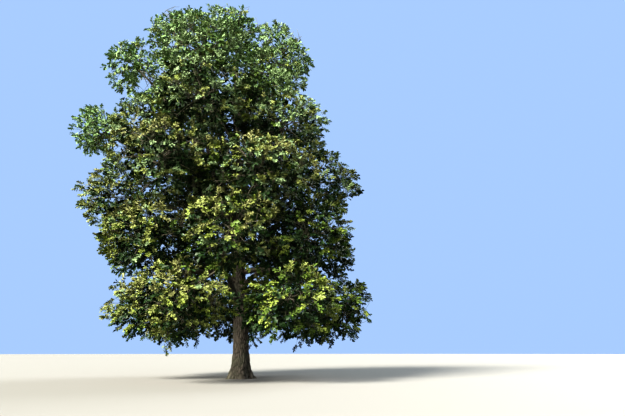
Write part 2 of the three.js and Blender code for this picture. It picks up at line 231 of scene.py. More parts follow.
# Sprays: which way a puff and each of its sprays faces, and their length.
PUFF_FACE = {"up": 0.6, "outward": 0.75, "scatter": 0.12}
SPRAY_LEAN = {"rim": 0.35, "rim_gain": 0.7, "outward": 0.4, "face": 0.5, "face_loss": 0.5, "droop": 0.2}
SPRAY_SCATTER = 0.25
SPRAY_LENGTH = 0.5
SPRAY_TIP = 0.2  # the part of a spray that lies past its tip's place
SPRAY_MIDDLE = 0.3  # how far back from there it is held against the photograph's outline
SPRAY_ARCH = 0.03

# Where growth is thinner, inside the crown.
BURIED_STEP = 2.2  # a puff is buried where this far outwards there is another mass
BURIED_DEPTH = 0.85
BURIED_KEPT = 0.35
HEART = np.array([-1.2, 0.3])  # the middle line of the crown
INWARD = -0.3  # a puff that faces it by more than this is thinned
INWARD_KEPT = 0.75

# The wood of a mass: sides, and radius at its root and its tip.
WOOD = {
    "stem": (7, 0.085, 0.04),
    "branch": (5, 0.042, 0.016),
    "shoot": (3, 0.018, 0.009),
    "twig": (3, 0.0085, 0.0035),
}
STEM_RINGS, BRANCH_RINGS = 9, 6
PIECE_TRIANGLES = 190_000  # the most that is joined into one piece

# Leaves along a spray: their lean from it at its foot and tip, how evenly they lie, and their sizes.
LEAF_LEAN = (66, 22)
LEAF_SCATTER, FACE_SCATTER = 0.16, 0.36
LEAF_FLATTEN, LEAF_DROOP = 0.75, 0.12
LEAF_SIZES = (0.72, 1.18)
LARGEST_AT, LARGEST, SHRINK = 0.6, 1.08, 0.3  # leaves are smaller the further they are from there

# The crown's skyline in the photograph: places across and up on the upright plane through the trunk.
SKYLINE = (
    (-11.4, 21.3), (-11.3, 23.4), (-10.9, 24.0), (-10.1, 24.5), (-9.5, 24.6), (-8.4, 25.4), (-7.9, 26.4),
    (-6.8, 27.0), (-5.3, 27.5), (-4.2, 27.7), (-2.2, 27.8), (-1.1, 27.5), (0.0, 26.7), (0.7, 25.8),
    (1.7, 26.3), (2.4, 25.8), (3.2, 25.1), (3.7, 24.1), (4.2, 22.9),
    (5.6, 21.2), (6.6, 18.4), (9.0, 15.5),
)
SKYLINE_ROOM = 0.3

# Where it shows sky through the crown, on the same plane, and how wide.
OPENINGS = (
    (-5.7, 16.9, 0.45), (-4.6, 17.1, 0.4), (-4.2, 16.2, 0.3),
    (-4.9, 8.2, 0.42), (-5.7, 8.4, 0.3),
    (-7.9, 20.7, 0.7), (-8.1, 22.6, 0.4), (-7.0, 21.6, 0.35),
    (-9.3, 15.6, 0.55), (-10.5, 14.8, 0.55),
    (-6.1, 24.0, 0.35), (-4.6, 23.8, 0.45), (-1.7, 23.2, 0.33), (0.5, 24.2, 0.35), (1.6, 24.1, 0.35),
)

# Base colours of the leaves, from the sunniest to the most shaded: lit and shaded copies of one green,
# partly real sun and shade leaves and partly painted sunlight and painted shade.
TINTS = {
    "sunlit": (0.132, 0.138, 0.055),
    "cool_light": (0.143, 0.195, 0.1),
    "bright": (0.127, 0.147, 0.044),
    "cool": (0.14, 0.197, 0.095),
    "plain": (0.128, 0.16, 0.034),
    "cool_deep": (0.122, 0.192, 0.079),
    "deep": (0.064, 0.1, 0.018),
    "shade": (0.01, 0.025, 0.006),
}

# How much of each tint the sprays of a tier get, in the same order.
TINT_SHARES = {
    "skirt": (0.34, 0.02, 0.28, 0.0, 0.1, 0.0, 0.06, 0.2),
    "low": (0.32, 0.02, 0.28, 0.02, 0.1, 0.0, 0.08, 0.18),
    "middle": (0.3, 0.12, 0.28, 0.12, 0.08, 0.02, 0.02, 0.06),
    "upper": (0.1, 0.36, 0.2, 0.26, 0.04, 0.04, 0.0, 0.0),
    "dome": (0.0, 0.3, 0.04, 0.38, 0.04, 0.2, 0.04, 0.0),
    "arm": (0.0, 0.14, 0.0, 0.36, 0.04, 0.34, 0.12, 0.0),
    "crest": (0.0, 0.3, 0.04, 0.38, 0.04, 0.2, 0.04, 0.0),
    # painted shade: darker tints for the masses named further down
    "painted_shade": (0.06, 0.0, 0.14, 0.0, 0.24, 0.0, 0.22, 0.34),
    # painted shade inside the crown, partly the darker green of shade leaves: buried puffs, then inner and
    # heart growth
    "buried": (0.0, 0.0, 0.1, 0.0, 0.2, 0.0, 0.1, 0.6),
    "inner": (0.0, 0.0, 0.0, 0.0, 0.0, 0.0, 0.12, 0.88),
    "inner_high": (0.0, 0.0, 0.0, 0.1, 0.0, 0.6, 0.3, 0.0),
}
HIGH_TIERS = ("dome", "arm", "crest")

# How dark a spray's tint is: painted shade on a puff's hanging rim and on its mass's underside, lighter
# tints on top, and chance.
TINT_RANK = {"rim": 0.35, "underside_painted_shade": 0.35, "own": 0.15, "shared": 0.15}
RANK_STRETCH = 1.7

# Masses that the photograph shows in shade.
# Their sprays all get darker tints: painted shade.
PAINTED_SHADE_MASSES = (
    "foliage_low_left", "foliage_low_right", "foliage_low_front_right",
    "foliage_skirt_right", "foliage_skirt_front_right", "foliage_skirt_back_right",
)


def seeded(seed):
    """The same row of numbers from 0 to 1 for the same seed, as in the source."""
    state = seed

    def draw():
        nonlocal state
        state = (state + 0x6D2B79F5) & WORD
        mixed = ((state ^ (state >> 15)) * (1 | state)) & WORD
        mixed = ((mixed + (mixed ^ (mixed >> 7)) * (61 | mixed)) & WORD) ^ mixed
        return ((mixed ^ (mixed >> 14)) & WORD) / 2**32

    return draw


def unit(vectors):
    """Vectors of length 1 the same way as these."""
    return vectors / np.maximum(np.linalg.norm(vectors, axis=-1, keepdims=True), 1e-9)


def on_curve(curve, shares):
    """Places on a Bezier curve of four points."""
    t = np.asarray(shares, float)[..., None]
    u = 1 - t
    return u**3 * curve[0] + 3 * u * u * t * curve[1] + 3 * u * t * t * curve[2] + t**3 * curve[3]


def heading_on(curve, shares):
    """Which way a Bezier curve runs at these places."""
    t = np.asarray(shares, float)[..., None]
    u = 1 - t
    steps = np.diff(curve, axis=0)
    return unit(u * u * steps[0] + 2 * u * t * steps[1] + t * t * steps[2])


# The camera, the light and the floor


def make_camera():
    camera = bpy.data.objects.new("camera", bpy.data.cameras.new("camera"))
    bpy.context.scene.collection.objects.link(camera)
    camera.location = CAMERA["place"]
    camera.rotation_euler = (math.radians(90 + CAMERA["tilt"]), 0, 0)
    camera.data.sensor_width = CAMERA["film"]
    camera.data.lens = CAMERA["lens"]
    bpy.context.scene.camera = camera


def make_lights():
    world = bpy.data.worlds.new("studio")
    bpy.context.scene.world = world
    world.use_nodes = True
    tree = world.node_tree
    fill = tree.nodes["Background"]
    direction = tree.nodes.new("ShaderNodeTexCoord")
    rise = tree.nodes.new("ShaderNodeSeparateXYZ")
    tree.links.new(direction.outputs["Generated"], rise.inputs["Vector"])
    overhead = add_range(tree, rise.outputs["Z"], FILL_RISE)
    tree.links.new(add_mix(tree, overhead, FILL["floor"], FILL["overhead"]), fill.inputs["Color"])
    backdrop = tree.nodes.new("ShaderNodeBackground")
    backdrop.inputs["Color"].default_value = (*BACKDROP, 1)
    split_for_camera(tree, fill, backdrop, tree.nodes["World Output"])
    bpy.context.scene.view_settings.view_transform = "Standard"
    bpy.context.scene.view_settings.look = "High Contrast"
    for name, (strength, width, colour, towards) in SUNS.items():
        lamp = bpy.data.objects.new(name, bpy.data.lights.new(name, "SUN"))
        bpy.context.scene.collection.objects.link(lamp)
        lamp.data.energy = strength
        lamp.data.angle = math.radians(width)
        lamp.data.color = colour
        lamp.rotation_euler = Vector(towards).to_track_quat("-Z", "Y").to_euler()


def split_for_camera(tree, lighting, seen, output):
    """One shader lights the scene, and the other is what the camera sees."""
    path = tree.nodes.new("ShaderNodeLightPath")
    mix = tree.nodes.new("ShaderNodeMixShader")
    tree.links.new(path.outputs["Is Camera Ray"], mix.inputs["Fac"])
    tree.links.new(lighting.outputs[0], mix.inputs[1])
    tree.links.new(seen.outputs[0], mix.inputs[2])
    tree.links.new(mix.outputs["Shader"], output.inputs["Surface"])


def make_floor():
    bpy.ops.mesh.primitive_circle_add(vertices=FLOOR["sides"], radius=FLOOR["radius"], fill_type="NGON")
    floor = bpy.context.active_object
    floor.name = "floor"
    material, tree, seen = new_material("pale_floor", FLOOR["seen"])
    seen.inputs["Roughness"].default_value = 0.9
    soft = tree.nodes.new("ShaderNodeBsdfDiffuse")
    soft.inputs["Color"].default_value = (*FLOOR["soft"], 1)
    split_for_camera(tree, soft, seen, tree.nodes["Material Output"])
    floor.data.materials.append(material)


# Materials


def new_group(name, takes, gives):
    """A shader node group with named inputs and outputs, and its two ends."""
    group = bpy.data.node_groups.new(name, "ShaderNodeTree")
    for label, kind in takes:
        group.interface.new_socket(label, in_out="INPUT", socket_type=kind)
    for label, kind in gives:
        group.interface.new_socket(label, in_out="OUTPUT", socket_type=kind)
    start = group.nodes.new("NodeGroupInput")
    end = group.nodes.new("NodeGroupOutput")
    return group, start, end


def add_noise(group, place, scale, detail, roughness):
    texture = group.nodes.new("ShaderNodeTexNoise")
    texture.inputs["Scale"].default_value = scale
    texture.inputs["Detail"].default_value = detail
    texture.inputs["Roughness"].default_value = roughness
    group.links.new(place, texture.inputs["Vector"])
    return texture.outputs["Fac"]


def add_range(group, value, taken, given=(0.0, 1.0)):
    """A value brought from one range to another."""
    ranged = group.nodes.new("ShaderNodeMapRange")
    for label, limit in zip(("From Min", "From Max", "To Min", "To Max"), (*taken, *given)):
        ranged.inputs[label].default_value = limit
    group.links.new(value, ranged.inputs["Value"])
    return ranged.outputs["Result"]


def add_math(group, operation, first, second):
    node = group.nodes.new("ShaderNodeMath")
    node.operation = operation
    for socket, value in zip(node.inputs, (first, second)):
        if isinstance(value, float):
            socket.default_value = value
        else:
            group.links.new(value, socket)
    return node.outputs[0]


def add_mix(group, share, first, second):
    """A colour between two others."""
    mix = group.nodes.new("ShaderNodeMix")
    mix.data_type = "RGBA"
    group.links.new(share, mix.inputs["Factor"])
    for socket, colour in ((mix.inputs[6], first), (mix.inputs[7], second)):
        if isinstance(colour, tuple):
            socket.default_value = (*colour, 1)
        else:
            group.links.new(colour, socket)
    return mix.outputs[2]


def make_bark_group():
    """Bark: dark in its furrows, partly as painted shade, paler on its ridges, with greenish growth in
    patches.
    """
    colours = [(label, "NodeSocketColor") for label in BARK_COLOURS]
    group, start, end = new_group(
        "weathered_and_furrow_shaded_bark",
        [("Place", "NodeSocketVector"), ("Relief", "NodeSocketFloat"), *colours],
        [
            ("Colour", "NodeSocketColor"),
            ("Roughness", "NodeSocketFloat"),
            ("Height", "NodeSocketFloat"),
        ],
    )
    place = start.outputs["Place"]
    furrow, ridge, growth = (start.outputs[label] for label in BARK_COLOURS)
    grain = add_noise(group, place, scale=14.0, detail=8, roughness=0.68)
    fine = add_noise(group, place, scale=60.0, detail=4, roughness=0.6)
    patches = add_noise(group, place, scale=1.1, detail=5, roughness=0.62)
    wear = add_range(group, grain, (0.3, 0.7), (-0.22, 0.22))
    # Relief darkens the furrows, partly as painted shade, and the grain adds wear.
    furrow_shade_and_wear = add_math(group, "ADD", start.outputs["Relief"], wear)
    grown = add_range(group, patches, (0.5, 0.72), (0.0, 0.75))
    colour = add_mix(group, grown, add_mix(group, furrow_shade_and_wear, furrow, ridge), growth)
    rough = add_range(group, grain, (0.2, 0.8), (0.98, 0.8))
    height = add_math(group, "ADD", grain, add_math(group, "MULTIPLY", fine, 0.35))
    for label, value in (("Colour", colour), ("Roughness", rough), ("Height", height)):
        group.links.new(value, end.inputs[label])
    return group


def make_leaf_group():
    """The skin of a leaf: a broken gloss, and a blade that puckers between its veins."""
    group, start, end = new_group(
        "leaf_skin",
        [("Place", "NodeSocketVector")],
        [("Roughness", "NodeSocketFloat"), ("Height", "NodeSocketFloat")],
    )
    gloss = add_noise(group, start.outputs["Place"], scale=6.0, detail=3, roughness=0.5)
    pucker = add_noise(group, start.outputs["Place"], scale=38.0, detail=2, roughness=0.5)
    group.links.new(add_range(group, gloss, (0.25, 0.75), (0.42, 0.68)), end.inputs["Roughness"])
    group.links.new(pucker, end.inputs["Height"])
    return group


def new_material(name, colour):
    material = bpy.data.materials.new(name)
    material.use_nodes = True
    material.diffuse_color = (*colour, 1)
    surface = material.node_tree.nodes["Principled BSDF"]
    surface.inputs["Base Color"].default_value = (*colour, 1)
    return material, material.node_tree, surface


def place_group(tree, group):
    node = tree.nodes.new("ShaderNodeGroup")
    node.node_tree = group
    return node


def add_bump(tree, height, surface, strength, distance):
    bump = tree.nodes.new("ShaderNodeBump")
    bump.inputs["Strength"].default_value = strength
    bump.inputs["Distance"].default_value = distance
    tree.links.new(height, bump.inputs["Height"])
    tree.links.new(bump.outputs["Normal"], surface.inputs["Normal"])


def make_bark(group, name, follows_limb):
    colours = dict(zip(BARK_COLOURS, BARKS[name]))
    material, tree, surface = new_material(name, colours["Ridge"])
    bark = place_group(tree, group)
    for label, colour in colours.items():
        bark.inputs[label].default_value = (*colour, 1)
    if follows_limb:
        place = tree.nodes.new("ShaderNodeAttribute")
        place.attribute_name = "grain"
        relief = tree.nodes.new("ShaderNodeAttribute")
        relief.attribute_name = "relief"
        tree.links.new(place.outputs["Vector"], bark.inputs["Place"])
        tree.links.new(relief.outputs["Fac"], bark.inputs["Relief"])
    else:
        place = tree.nodes.new("ShaderNodeTexCoord")
        tree.links.new(place.outputs["Object"], bark.inputs["Place"])
        bark.inputs["Relief"].default_value = EVEN_RELIEF
    tree.links.new(bark.outputs["Colour"], surface.inputs["Base Color"])
    tree.links.new(bark.outputs["Roughness"], surface.inputs["Roughness"])
    add_bump(tree, bark.outputs["Height"], surface, strength=0.7, distance=0.012)
    return material


def make_leaf_material(group, tint):
    material, tree, surface = new_material(f"leaf_{tint}", TINTS[tint])
    surface.inputs["Specular IOR Level"].default_value = 0.2
    place = tree.nodes.new("ShaderNodeTexCoord")
    skin = place_group(tree, group)
    tree.links.new(place.outputs["Object"], skin.inputs["Place"])
    tree.links.new(skin.outputs["Roughness"], surface.inputs["Roughness"])
    add_bump(tree, skin.outputs["Height"], surface, strength=0.3, distance=0.01)
    return material


# Timber, by the rule of the source


def halfway_turn(first, second):
    """The turn in degrees that is halfway from one to another, the short way round."""
    return (first + (((second - first + 540) % 360) - 180) / 2 + 360) % 360


def direction_name(turn):
    return DIRECTIONS[math.floor(turn * len(DIRECTIONS) / 360 + 0.5) % len(DIRECTIONS)]


def on_ring(tier, turn, height, share=1.0):
    """A place on a tier's ring, drawn in towards the middle line by share."""
    across, deep = math.cos(math.radians(turn)), math.sin(math.radians(turn))
    left, right, front, back = tier["reach"]
    reach_across = right if across > 0 else left
    reach_deep = back if deep > 0 else front
    out = share / math.hypot(across / reach_across, deep / reach_deep)
    return np.array([tier["middle"] + out * across, out * deep, height])


def trunk_limb():
    height, lean, drift = TRUNK["height"], TRUNK["lean"], TRUNK["drift"]
    curve = np.array([
        [0, 0, 0], [0, drift, height / 3], [lean / 2, drift, height * 2 / 3], [lean, drift, height],
    ])
    sizes = {"radius": TRUNK["chest"], "tip_radius": TRUNK["fork"], "collar": 0}
    return {"name": "trunk", "curve": curve, **sizes}


def grow_limb(name, root, tip, sizes, seed):
    """A limb from its root to its tip, arched upwards and swaying a little."""
    draw = seeded(seed)
    side = unit(np.cross(tip - root, UP))
    bends = []
    for along in (1 / 3, 2 / 3):
        at = root + (tip - root) * along + UP * (sizes["arch"] + sizes["sway"] * (draw() - 0.5))
        bends.append(at + side * sizes["sway"] * (draw() * 2 - 1))
    radii = {key: sizes[key] for key in ("radius", "tip_radius", "collar")}
    return {"name": name, "curve": np.array([root, *bends, tip]), **radii}


def limb_radius(limb, along):
    if limb["name"] == "trunk":
        return limb["radius"] + (limb["tip_radius"] - limb["radius"]) * along
    taper = limb["radius"] + (limb["tip_radius"] - limb["radius"]) * along**TAPER
    return taper + limb["radius"] * limb["collar"] * np.exp(-COLLAR_FADE * along)


def at_height(limb, height):
    foot, top = limb["curve"][0][2], limb["curve"][3][2]
    return on_curve(limb["curve"], min(max((height - foot) / (top - foot), 0), 1))


def grow_timber():
    """The trunk, stems and boughs, and the masses that they carry, in the source's order."""
    trunk = trunk_limb()
    stems = {
        name: grow_limb(f"stem_{name}", at_height(trunk, stem["leaves"]), np.array(stem["tip"]), stem, seed)
        for seed, (name, stem) in enumerate(STEMS.items(), SEEDS["stems"])
    }
    standing = [trunk, *stems.values()]
    boughs, masses = [], []

    def add_mass(name, tier, centre, sizes, bough, side):
        size = np.array([sizes["spread"], sizes["spread"], sizes["depth"]])
        masses.append({
            "name": f"foliage_{name}", "tier": tier, "centre": centre, "size": size,
            "room": size * (CREST_ROOM if tier == "crest" else 1.0),
            "stem": mass_stem(bough["curve"], side, centre),
        })

    seed = SEEDS["boughs"]
    for ring_name, ring in BOUGHS.items():
        tiers = [TIERS[name] for name in ring["carries"]]
        count = tiers[0]["count"]
        for k in range(count):
            turns = [(tier["turn"] + k * 360 / tier["count"]) % 360 for tier in tiers]
            turn = halfway_turn(turns[0], turns[-1])
            tip = on_ring(tiers[0], turn, ring["tip_height"], ring["share"])
            height = ring["leaves"] + ring["climb"] * ((k * CLIMB_STEP) % count)
            passing = [limb for limb in standing if limb["curve"][0][2] < height < limb["curve"][3][2]]
            starts = [at_height(limb, height) for limb in passing]
            root = min(starts, key=lambda start: np.linalg.norm(start - tip))
            bough = grow_limb(f"bough_{ring_name}_{direction_name(turn)}", root, tip, ring, seed + k)
            boughs.append(bough)
            for i, (name, tier) in enumerate(zip(ring["carries"], tiers)):
                lift = tier["lift"] if k % 2 else -tier["lift"]
                centre = on_ring(tier, turns[i], tier["height"] + lift)
                mass_name = f"{name}_{direction_name(turns[i])}"
                add_mass(mass_name, name, centre, tier, bough, 2 * i - (len(tiers) - 1))
        seed += count
    for index, (name, arm) in enumerate(ARMS.items()):
        root = at_height(stems["left"], arm["leaves"])
        bough = grow_limb(f"bough_{name}", root, np.array(arm["tip"]), arm, SEEDS["arms"] + index)
        boughs.append(bough)
        add_mass(name, "arm", np.array(arm["centre"]), arm, bough, 0)
    for name, crest in CREST.items():
        add_mass(name, "crest", np.array(crest["centre"]), crest, stems[crest["stem"]], 0)
    return trunk, list(stems.values()), boughs, masses


def mass_stem(bough_curve, side, centre):
    """The stem that carries a mass, from its bough's tip to the mass's middle."""
    forward = heading_on(bough_curve, 1.0)
    rise = unit(UP - forward * forward[2])
    start = bough_curve[3] + forward * SEAT_GAP + rise * side * STEM_SPLIT
    ahead = np.linalg.norm(centre - start) * STEM_AHEAD
    return np.array([start, start + forward * ahead, start + (centre - start) * STEM_TURN, centre])


# Bark with relief, on a cylinder that is cut into rings and bent along its limb


def cut_cylinder(name, sides, cuts):
    """A cylinder of radius 1 and height 1 whose wall is cut into rings."""
    bpy.ops.object.select_all(action="DESELECT")
    bpy.ops.mesh.primitive_cylinder_add(vertices=sides, radius=1, depth=1, end_fill_type="NGON")
    tube = bpy.context.active_object
    tube.name = name
    bpy.ops.object.mode_set(mode="EDIT")
    bpy.ops.mesh.select_mode(type="EDGE")
    bpy.ops.mesh.select_all(action="DESELECT")
    for cut in cuts:
        bpy.ops.object.mode_set(mode="OBJECT")
        heights = [vertex.co.z for vertex in tube.data.vertices]
        for edge in tube.data.edges:
            first, second = edge.vertices
            edge.select = abs(heights[first] - heights[second]) > LEVEL
        bpy.ops.object.mode_set(mode="EDIT")
        bpy.ops.mesh.subdivide(number_cuts=cut)
        bpy.ops.mesh.select_all(action="DESELECT")
    bpy.ops.object.mode_set(mode="OBJECT")
    return tube


def furrows(place, cell):
    """How high the bark stands: 0 in a furrow and 1 on a ridge. Ridges run along the limb."""
    heights = np.empty(len(place))
    for i, (x, y, z) in enumerate(place):
        wander = noise.noise((x * WANDER_SCALE, y * WANDER_SCALE, z * WANDER_SCALE / 2)) * WANDER
        aside = wander * WANDER_ACROSS
        spot = ((x + aside) / cell, (y + aside) / cell, z / (cell * RIDGE_LENGTH) + wander)
        near, next_near = noise.voronoi(spot)[0][:2]
        heights[i] = min(1.0, (next_near - near) * FURROW_EDGE) ** FURROW_ROUNDING
    return heights


def bark_limb(limb, sides, cuts, crowding, cell, depth):
    """A limb's own mesh, bent along its curve, with furrows of a given width and depth."""
    tube = cut_cylinder(f"{limb['name']}_bark", sides, cuts)
    mesh = tube.data
    place = np.empty(len(mesh.vertices) * 3)
    mesh.vertices.foreach_get("co", place)
    place = place.reshape(-1, 3)
    along = (place[:, 2] + 0.5).clip(0, 1) ** crowding
    angle = np.arctan2(place[:, 1], place[:, 0])
    curve = limb["curve"]
    upright = limb["name"] == "trunk"
    middle = on_curve(curve, along)
    if upright:
        heading = np.tile(UP, (len(along), 1))
        level = np.array([1.0, 0.0, 0.0])
    else:
        heading = heading_on(curve, along)
        level = unit(np.cross(curve[3] - curve[0], UP))
    across = unit(level - heading * (heading @ level)[:, None])
    beside = np.cross(heading, across)
    length = np.linalg.norm(curve[3] - curve[0])
    mean = (limb["radius"] + limb["tip_radius"]) / 2
    round_cos, round_sin = np.cos(angle), np.sin(angle)
    grain = np.stack([round_cos * mean, round_sin * mean, along * length + limb["seed"]], 1)
    radius = limb_radius(limb, along)
    if upright:
        fade = np.exp(-along * length / TRUNK["fade"])
        wave = np.cos(TRUNK["ribs"] * angle)
        radius = (radius + TRUNK["spread"] * fade) * (1 + TRUNK["rib_depth"] * fade * wave)
        high_fade = np.exp(-along * length / (TRUNK["fade"] * HIGH_RIBS["fade"]))
        high_wave = np.cos(TRUNK["ribs"] * angle + HIGH_RIBS["twist"] * np.sin(angle))
        radius *= 1 + HIGH_RIBS["depth"] * high_fade * high_wave
    lumps = np.array([noise.noise(spot) for spot in grain * LUMP_SCALE])
    relief = furrows(grain, cell)
    scale = radius / mean
    radius = radius * (1 + LUMPS * lumps) + depth * scale * (relief - MEAN_RELIEF)
    radius[place[:, 2] > 0.5 - LEVEL] *= TOP_SHARE
    at = middle + across * (round_cos * radius)[:, None] + beside * (round_sin * radius)[:, None]
    mesh.vertices.foreach_set("co", at.ravel())
    mesh.attributes.new("grain", "FLOAT_VECTOR", "POINT").data.foreach_set("vector", grain.ravel())
    mesh.attributes.new("relief", "FLOAT", "POINT").data.foreach_set("value", relief)
    mesh.update()
    return tube


def joined(name, pieces):
    bpy.ops.object.select_all(action="DESELECT")
    for piece in pieces:
        piece.select_set(True)
    bpy.context.view_layer.objects.active = pieces[0]
    if len(pieces) > 1:
        bpy.ops.object.join()
    whole = bpy.context.active_object
    whole.name = name
    whole.data.name = name
    bpy.ops.object.shade_smooth()
    return whole


def finish_piece(piece, materials, slot, nodes):
    """A piece gets its materials and rides on the tree, and the parts for its nodes are hidden."""
    for material in materials:
        piece.data.materials.append(material)
    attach(piece, "root")
    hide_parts(*nodes)


def make_timber(trunk, stems, boughs, old_bark, young_bark):
    """One piece each for the trunk, the stems and the boughs."""
    for number, limb in enumerate([trunk, *stems, *boughs]):
        limb["seed"] = SEEDS["bark"] + number * BARK_SEED_STEP
    for kind, limbs, material, slot in (
        ("trunk", [trunk], old_bark, "bark"),
        ("stems", stems, old_bark, "bark"),
        ("boughs", boughs, young_bark, "young_bark"),
    ):
        piece = joined(f"{kind}_bark", [bark_limb(limb, **RELIEF[kind]) for limb in limbs])
        finish_piece(piece, [material], slot, [limb["name"] for limb in limbs])


# Foliage: branches, shoots and sprays of leaves


def spread_directions(count, draw):
    """Evenly spread directions, turned at random as a whole."""
    i = np.arange(count)
    height = 1 - (2 * i + 1) / count
    angle = draw() * FULL_TURN + i * GOLDEN_TURN
    level = np.sqrt(1 - height * height)
    return np.stack([level * np.cos(angle), level * np.sin(angle), height], 1)


def depths(masses, at):
    """How far out each place lies in each mass: 0 in its middle and 1 at its edge."""
    centres = np.array([mass["centre"] for mass in masses])
    sizes = np.array([mass["room"] for mass in masses])
    return np.linalg.norm((at[:, None, :] - centres) / sizes, axis=2)


def in_space(masses, index, at, edge, overlap):
    """True where a place is inside a mass's outline, and no nearer to another's middle."""
    depth = depths(masses, at)
    own = depth[:, index].copy()
    depth[:, index] = np.inf
    return (own <= edge) & (depth.min(1) > own - overlap)


def clear_of_timber(limbs, at, clearance):
    shares = np.linspace(0, 1, 13)
    clear = np.ones(len(at), bool)
    for limb in limbs:
        line = on_curve(limb["curve"], shares)
        radii = limb_radius(limb, shares)
        gaps = np.linalg.norm(at[:, None, :] - line, axis=2) - radii
        clear &= gaps.min(1) > clearance
    return clear


def grow_branches(mass, index):
    """The mass's own twigs, by the source's draws, carried on further out. Curves of four points."""
    draw = seeded(SEEDS["masses"] + index)
    for _ in range(CORE_CORNERS):
        draw()
    branches = []
    for k, heading in enumerate(spread_directions(TWIGS, draw)):
        root = on_curve(mass["stem"], TWIG_ROOTS + (1 - TWIG_ROOTS) * draw())
        reach = LONG_TWIG if k % LONG_EVERY == LONG_FIRST else SHORT_TWIG
        bend = np.array([draw(), draw(), 0.5]) - 0.5
        end = mass["centre"] + heading * mass["size"] * reach
        tip = mass["centre"] + heading * mass["size"] * BRANCH_REACH
        near_bend = root + (end - root) * TWIG_BEND_AT + bend * TWIG_BEND
        branches.append([root, near_bend, end + UP * END_RISE - bend * END_BEND, tip])
    return np.array(branches)


def grow_puffs(masses, index, limbs, kind, generator):
    """A mass's puffs of foliage: their middles, outward directions and radii, and which are buried."""
    mass = masses[index]
    count = PUFFS[kind]["count"]
    headings = spread_directions(count, generator.random)
    headings = unit(headings + generator.normal(0, PUFF_SCATTER, (count, 3)))
    reach = generator.uniform(*PUFFS[kind]["reach"], count)[:, None]
    if kind == "heart":
        inward = np.append(HEART - mass["centre"][:2], 0)
        middles = mass["centre"] + inward * reach + headings * HEART_SPREAD
        edge = HEART_DEPTH
    else:
        middles = mass["centre"] + headings * mass["room"] * reach
        edge = 1.0
    kept = in_space(masses, index, middles, edge, PUFF_OVERLAP)
    kept &= clear_of_timber(limbs, middles, TIMBER_ROOM)
    outward = unit(headings * mass["size"])
    beyond = depths(masses, middles + outward * BURIED_STEP)
    beyond[:, index] = np.inf
    buried = beyond.min(1) < BURIED_DEPTH
    if kind == "outer":
        kept &= ~(buried & (generator.random(count) > BURIED_KEPT))
    if kind != "heart" and mass["tier"] != "crest":
        faces_inward = outward[:, :2] @ unit(mass["centre"][:2] - HEART) < INWARD
        kept &= ~(faces_inward & (generator.random(count) > INWARD_KEPT))
    radius = generator.uniform(*PUFF_RADIUS, count) * mass["size"][0] / USUAL_SPREAD
    return middles[kept], outward[kept], radius[kept], buried[kept]


def across_pair(directions):
    """Two directions square to each of these and to each other."""
    helper = np.where(np.abs(directions[:, 2:]) < 0.9, UP, np.array([1.0, 0.0, 0.0]))
    first = unit(np.cross(directions, helper))
    return first, np.cross(directions, first)


def grow_sprays(masses, index, kind, middles, outward, radius, generator):
    """Sprays set on cushion-shaped puffs. Gives each spray's puff, tip, direction and face."""
    counts = np.maximum(FEWEST_SPRAYS, np.round(PUFFS[kind]["sprays"] * radius**2)).astype(int)
    puff = np.repeat(np.arange(len(middles)), counts)
    total = len(puff)
    scatter = generator.normal(0, PUFF_FACE["scatter"], outward.shape)
    face = unit(UP * PUFF_FACE["up"] + outward * PUFF_FACE["outward"] + scatter)
    first, second = across_pair(face)
    out = np.sqrt(generator.random(total))
    turn = generator.random(total) * FULL_TURN
    rim = first[puff] * np.cos(turn)[:, None] + second[puff] * np.sin(turn)[:, None]
    rise = CUSHION_TOP - CUSHION_DROP * out**2 + generator.normal(0, CUSHION_SCATTER, total)
    reach = radius[puff][:, None]
    tips = middles[puff] + (rim * out[:, None] + face[puff] * rise[:, None]) * reach
    heading = unit(
        rim * (SPRAY_LEAN["rim"] + SPRAY_LEAN["rim_gain"] * out)[:, None]
        + outward[puff] * SPRAY_LEAN["outward"]
        + face[puff] * (SPRAY_LEAN["face"] - SPRAY_LEAN["face_loss"] * out)[:, None]
        - UP * SPRAY_LEAN["droop"] * out[:, None]
        + generator.normal(0, SPRAY_SCATTER, (total, 3))
    )
    edge = HEART_DEPTH if kind == "heart" else tip_edge(masses[index], tips)
    kept = in_space(masses, index, tips, edge, TIP_OVERLAP) & inside_box(tips, LEAF_REACH)
    kept &= in_outline(tips - heading * SPRAY_LENGTH * SPRAY_MIDDLE)
    return puff[kept], tips[kept], heading[kept], face[puff][kept], rise[kept]


def tip_edge(mass, at):
    """How far out in its mass each tip may stand, which is further on the crown's inside."""
    if mass["tier"] == "crest":
        return TIP_DEPTH["crest"]
    inside = np.linalg.norm(at[:, :2] - HEART, axis=1) < np.linalg.norm(mass["centre"][:2] - HEART)
    return np.where(inside, FILL_DEPTH, TIP_DEPTH[mass["tier"]])


def in_outline(at):
    """True for places that lie below the photograph's skyline and close none of its openings."""
    eye = np.array(CAMERA["place"])
    to_plane = eye[1] / (eye[1] - at[:, 1:2])
    across, up = ((eye + (at - eye) * to_plane)[:, ::2]).T
    line_across, line_up = np.array(SKYLINE).T
    below = up < np.interp(across, line_across, line_up) - SKYLINE_ROOM
    outside = (across < line_across[0]) | (across > line_across[-1])
    openings = np.array(OPENINGS)
    gaps = np.hypot(across[:, None] - openings[:, 0], up[:, None] - openings[:, 1])
    return (below | outside) & (gaps > openings[:, 2]).all(1)


def inside_box(at, margin):
    """True for places that stay inside the size that the visual model may have."""
    low, high = np.array(cad_box[0]), np.array(cad_box[1])
    spare = (high - low) * BOX_ROOM
    return ((at - margin > low - spare) & (at + margin < high + spare)).all(1)


